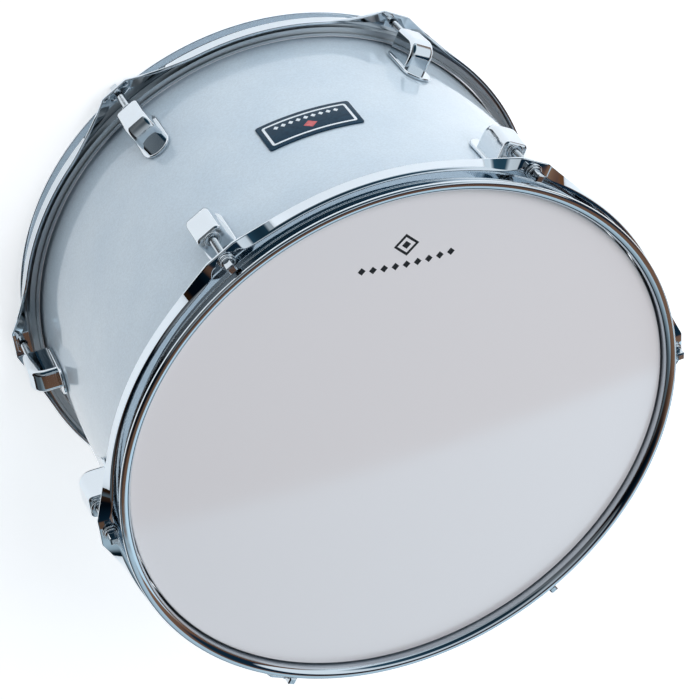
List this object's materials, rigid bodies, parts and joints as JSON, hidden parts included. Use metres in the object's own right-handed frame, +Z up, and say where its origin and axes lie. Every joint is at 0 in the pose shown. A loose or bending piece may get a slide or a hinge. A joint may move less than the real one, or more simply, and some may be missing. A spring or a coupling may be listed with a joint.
{
  "type": "two-headed cylindrical drum",
  "caption": "Short cylindrical drum with a pearl-wrapped shell, a tensioned film head at each end, chrome flanged hoops and single-ended lugs with square-headed tension rods",
  "frame": {"origin": "centre of the lower rim, on the plane that the drum stands on", "axes": "+Z up along the drum's axis towards the batter head; -Y towards the badge; +X through the first lug of each end"},
  "size_m": [0.3692, 0.3528, 0.2234],
  "materials": {
    "shell_ply": "bare plywood, satin",
    "pearl_wrap": "glossy pearl-white covering with fine sparkle and a pale blue cast",
    "badge_plate": "glossy dark navy with a silver-white printed border",
    "grommet_metal": "plated eyelet",
    "head_film": "smooth glossy white polyester film",
    "flesh_hoop_metal": "satin aluminium channel",
    "hoop_chrome": "mirror chrome on pressed steel",
    "lug_chrome": "mirror chrome on die casting",
    "fastener_chrome": "bright plated steel"
  },
  "bodies": {
    "shell": {"shell": "shell_ply", "shell_wrap": "pearl_wrap", "badge": "badge_plate", "vent_grommet": "grommet_metal", "batter_lug_1": "lug_chrome", "batter_swivel_nut_1": "fastener_chrome", "batter_lug_2": "lug_chrome", "batter_swivel_nut_2": "fastener_chrome", "batter_lug_3": "lug_chrome", "batter_swivel_nut_3": "fastener_chrome", "batter_lug_4": "lug_chrome", "batter_swivel_nut_4": "fastener_chrome", "batter_lug_5": "lug_chrome", "batter_swivel_nut_5": "fastener_chrome", "batter_lug_6": "lug_chrome", "batter_swivel_nut_6": "fastener_chrome", "resonant_lug_1": "lug_chrome", "resonant_swivel_nut_1": "fastener_chrome", "resonant_lug_2": "lug_chrome", "resonant_swivel_nut_2": "fastener_chrome", "resonant_lug_3": "lug_chrome", "resonant_swivel_nut_3": "fastener_chrome", "resonant_lug_4": "lug_chrome", "resonant_swivel_nut_4": "fastener_chrome", "resonant_lug_5": "lug_chrome", "resonant_swivel_nut_5": "fastener_chrome", "resonant_lug_6": "lug_chrome", "resonant_swivel_nut_6": "fastener_chrome"},
    "batter_hoop": {"batter_hoop": "hoop_chrome", "batter_flesh_hoop": "flesh_hoop_metal", "batter_film": "head_film", "batter_washer_1": "fastener_chrome", "batter_washer_2": "fastener_chrome", "batter_washer_3": "fastener_chrome", "batter_washer_4": "fastener_chrome", "batter_washer_5": "fastener_chrome", "batter_washer_6": "fastener_chrome"},
    "batter_rod_1": {"batter_tension_rod_1": "fastener_chrome"},
    "batter_rod_2": {"batter_tension_rod_2": "fastener_chrome"},
    "batter_rod_3": {"batter_tension_rod_3": "fastener_chrome"},
    "batter_rod_4": {"batter_tension_rod_4": "fastener_chrome"},
    "batter_rod_5": {"batter_tension_rod_5": "fastener_chrome"},
    "batter_rod_6": {"batter_tension_rod_6": "fastener_chrome"},
    "resonant_hoop": {"resonant_hoop": "hoop_chrome", "resonant_flesh_hoop": "flesh_hoop_metal", "resonant_film": "head_film", "resonant_washer_1": "fastener_chrome", "resonant_washer_2": "fastener_chrome", "resonant_washer_3": "fastener_chrome", "resonant_washer_4": "fastener_chrome", "resonant_washer_5": "fastener_chrome", "resonant_washer_6": "fastener_chrome"},
    "resonant_rod_1": {"resonant_tension_rod_1": "fastener_chrome"},
    "resonant_rod_2": {"resonant_tension_rod_2": "fastener_chrome"},
    "resonant_rod_3": {"resonant_tension_rod_3": "fastener_chrome"},
    "resonant_rod_4": {"resonant_tension_rod_4": "fastener_chrome"},
    "resonant_rod_5": {"resonant_tension_rod_5": "fastener_chrome"},
    "resonant_rod_6": {"resonant_tension_rod_6": "fastener_chrome"}
  },
  "joints": [
    {"name": "batter_tension", "type": "slide", "parent": "shell", "child": "batter_hoop", "axis": [0, 0, 1], "range_m": [0, 0.012]},
    {"name": "batter_rod_1_screw", "type": "hinge", "parent": "batter_hoop", "child": "batter_rod_1", "pos_m": [0.1784, 0, 0.2135], "axis": [0, 0, 1], "range_deg": [0, 4090]},
    {"name": "batter_rod_2_screw", "type": "hinge", "parent": "batter_hoop", "child": "batter_rod_2", "pos_m": [0.0892, 0.1545, 0.2135], "axis": [0, 0, 1], "range_deg": [0, 4090]},
    {"name": "batter_rod_3_screw", "type": "hinge", "parent": "batter_hoop", "child": "batter_rod_3", "pos_m": [-0.0892, 0.1545, 0.2135], "axis": [0, 0, 1], "range_deg": [0, 4090]},
    {"name": "batter_rod_4_screw", "type": "hinge", "parent": "batter_hoop", "child": "batter_rod_4", "pos_m": [-0.1784, 0, 0.2135], "axis": [0, 0, 1], "range_deg": [0, 4090]},
    {"name": "batter_rod_5_screw", "type": "hinge", "parent": "batter_hoop", "child": "batter_rod_5", "pos_m": [-0.0892, -0.1545, 0.2135], "axis": [0, 0, 1], "range_deg": [0, 4090]},
    {"name": "batter_rod_6_screw", "type": "hinge", "parent": "batter_hoop", "child": "batter_rod_6", "pos_m": [0.0892, -0.1545, 0.2135], "axis": [0, 0, 1], "range_deg": [0, 4090]},
    {"name": "resonant_tension", "type": "slide", "parent": "shell", "child": "resonant_hoop", "axis": [0, 0, -1], "range_m": [0, 0.012]},
    {"name": "resonant_rod_1_screw", "type": "hinge", "parent": "resonant_hoop", "child": "resonant_rod_1", "pos_m": [0.1784, 0, 0.0099], "axis": [0, 0, -1], "range_deg": [0, 4090]},
    {"name": "resonant_rod_2_screw", "type": "hinge", "parent": "resonant_hoop", "child": "resonant_rod_2", "pos_m": [0.0892, 0.1545, 0.0099], "axis": [0, 0, -1], "range_deg": [0, 4090]},
    {"name": "resonant_rod_3_screw", "type": "hinge", "parent": "resonant_hoop", "child": "resonant_rod_3", "pos_m": [-0.0892, 0.1545, 0.0099], "axis": [0, 0, -1], "range_deg": [0, 4090]},
    {"name": "resonant_rod_4_screw", "type": "hinge", "parent": "resonant_hoop", "child": "resonant_rod_4", "pos_m": [-0.1784, 0, 0.0099], "axis": [0, 0, -1], "range_deg": [0, 4090]},
    {"name": "resonant_rod_5_screw", "type": "hinge", "parent": "resonant_hoop", "child": "resonant_rod_5", "pos_m": [-0.0892, -0.1545, 0.0099], "axis": [0, 0, -1], "range_deg": [0, 4090]},
    {"name": "resonant_rod_6_screw", "type": "hinge", "parent": "resonant_hoop", "child": "resonant_rod_6", "pos_m": [0.0892, -0.1545, 0.0099], "axis": [0, 0, -1], "range_deg": [0, 4090]}
  ],
  "couplings": [
    {"joint": "batter_rod_1_screw", "follows": "batter_tension", "rad_per_m": 5938.7},
    {"joint": "batter_rod_2_screw", "follows": "batter_tension", "rad_per_m": 5938.7},
    {"joint": "batter_rod_3_screw", "follows": "batter_tension", "rad_per_m": 5938.7},
    {"joint": "batter_rod_4_screw", "follows": "batter_tension", "rad_per_m": 5938.7},
    {"joint": "batter_rod_5_screw", "follows": "batter_tension", "rad_per_m": 5938.7},
    {"joint": "batter_rod_6_screw", "follows": "batter_tension", "rad_per_m": 5938.7},
    {"joint": "resonant_rod_1_screw", "follows": "resonant_tension", "rad_per_m": 5938.7},
    {"joint": "resonant_rod_2_screw", "follows": "resonant_tension", "rad_per_m": 5938.7},
    {"joint": "resonant_rod_3_screw", "follows": "resonant_tension", "rad_per_m": 5938.7},
    {"joint": "resonant_rod_4_screw", "follows": "resonant_tension", "rad_per_m": 5938.7},
    {"joint": "resonant_rod_5_screw", "follows": "resonant_tension", "rad_per_m": 5938.7},
    {"joint": "resonant_rod_6_screw", "follows": "resonant_tension", "rad_per_m": 5938.7}
  ]
}
